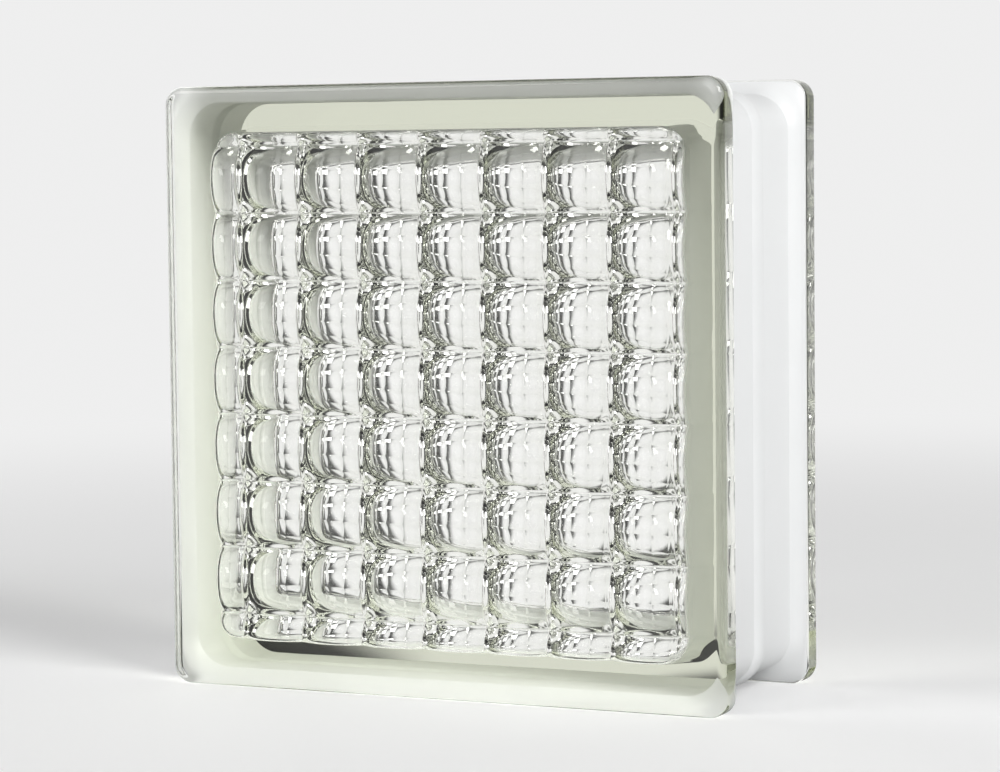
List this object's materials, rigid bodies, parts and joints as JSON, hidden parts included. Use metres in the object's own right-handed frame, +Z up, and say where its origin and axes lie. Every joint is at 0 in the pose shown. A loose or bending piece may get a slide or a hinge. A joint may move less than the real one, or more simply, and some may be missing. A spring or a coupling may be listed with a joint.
{
  "type": "glass block",
  "caption": "Square hollow glass block, pressed in halves that are fused at mid depth, with a small lattice on the inner faces and a white-coated mortar channel round the edge.",
  "frame": {"origin": "middle of the bottom, on the seam plane", "axes": "X across the block, Y from the front face to the rear face, Z up"},
  "size_m": [0.19, 0.08, 0.19],
  "materials": {
    "glass": "pressed clear glass with a faint green tint, fire polished",
    "white_coat": "smooth white edge coat, satin"
  },
  "bodies": {
    "root": {"front_half": "glass", "rear_half": "glass", "edge_coating": "white_coat"}
  },
  "joints": []
}
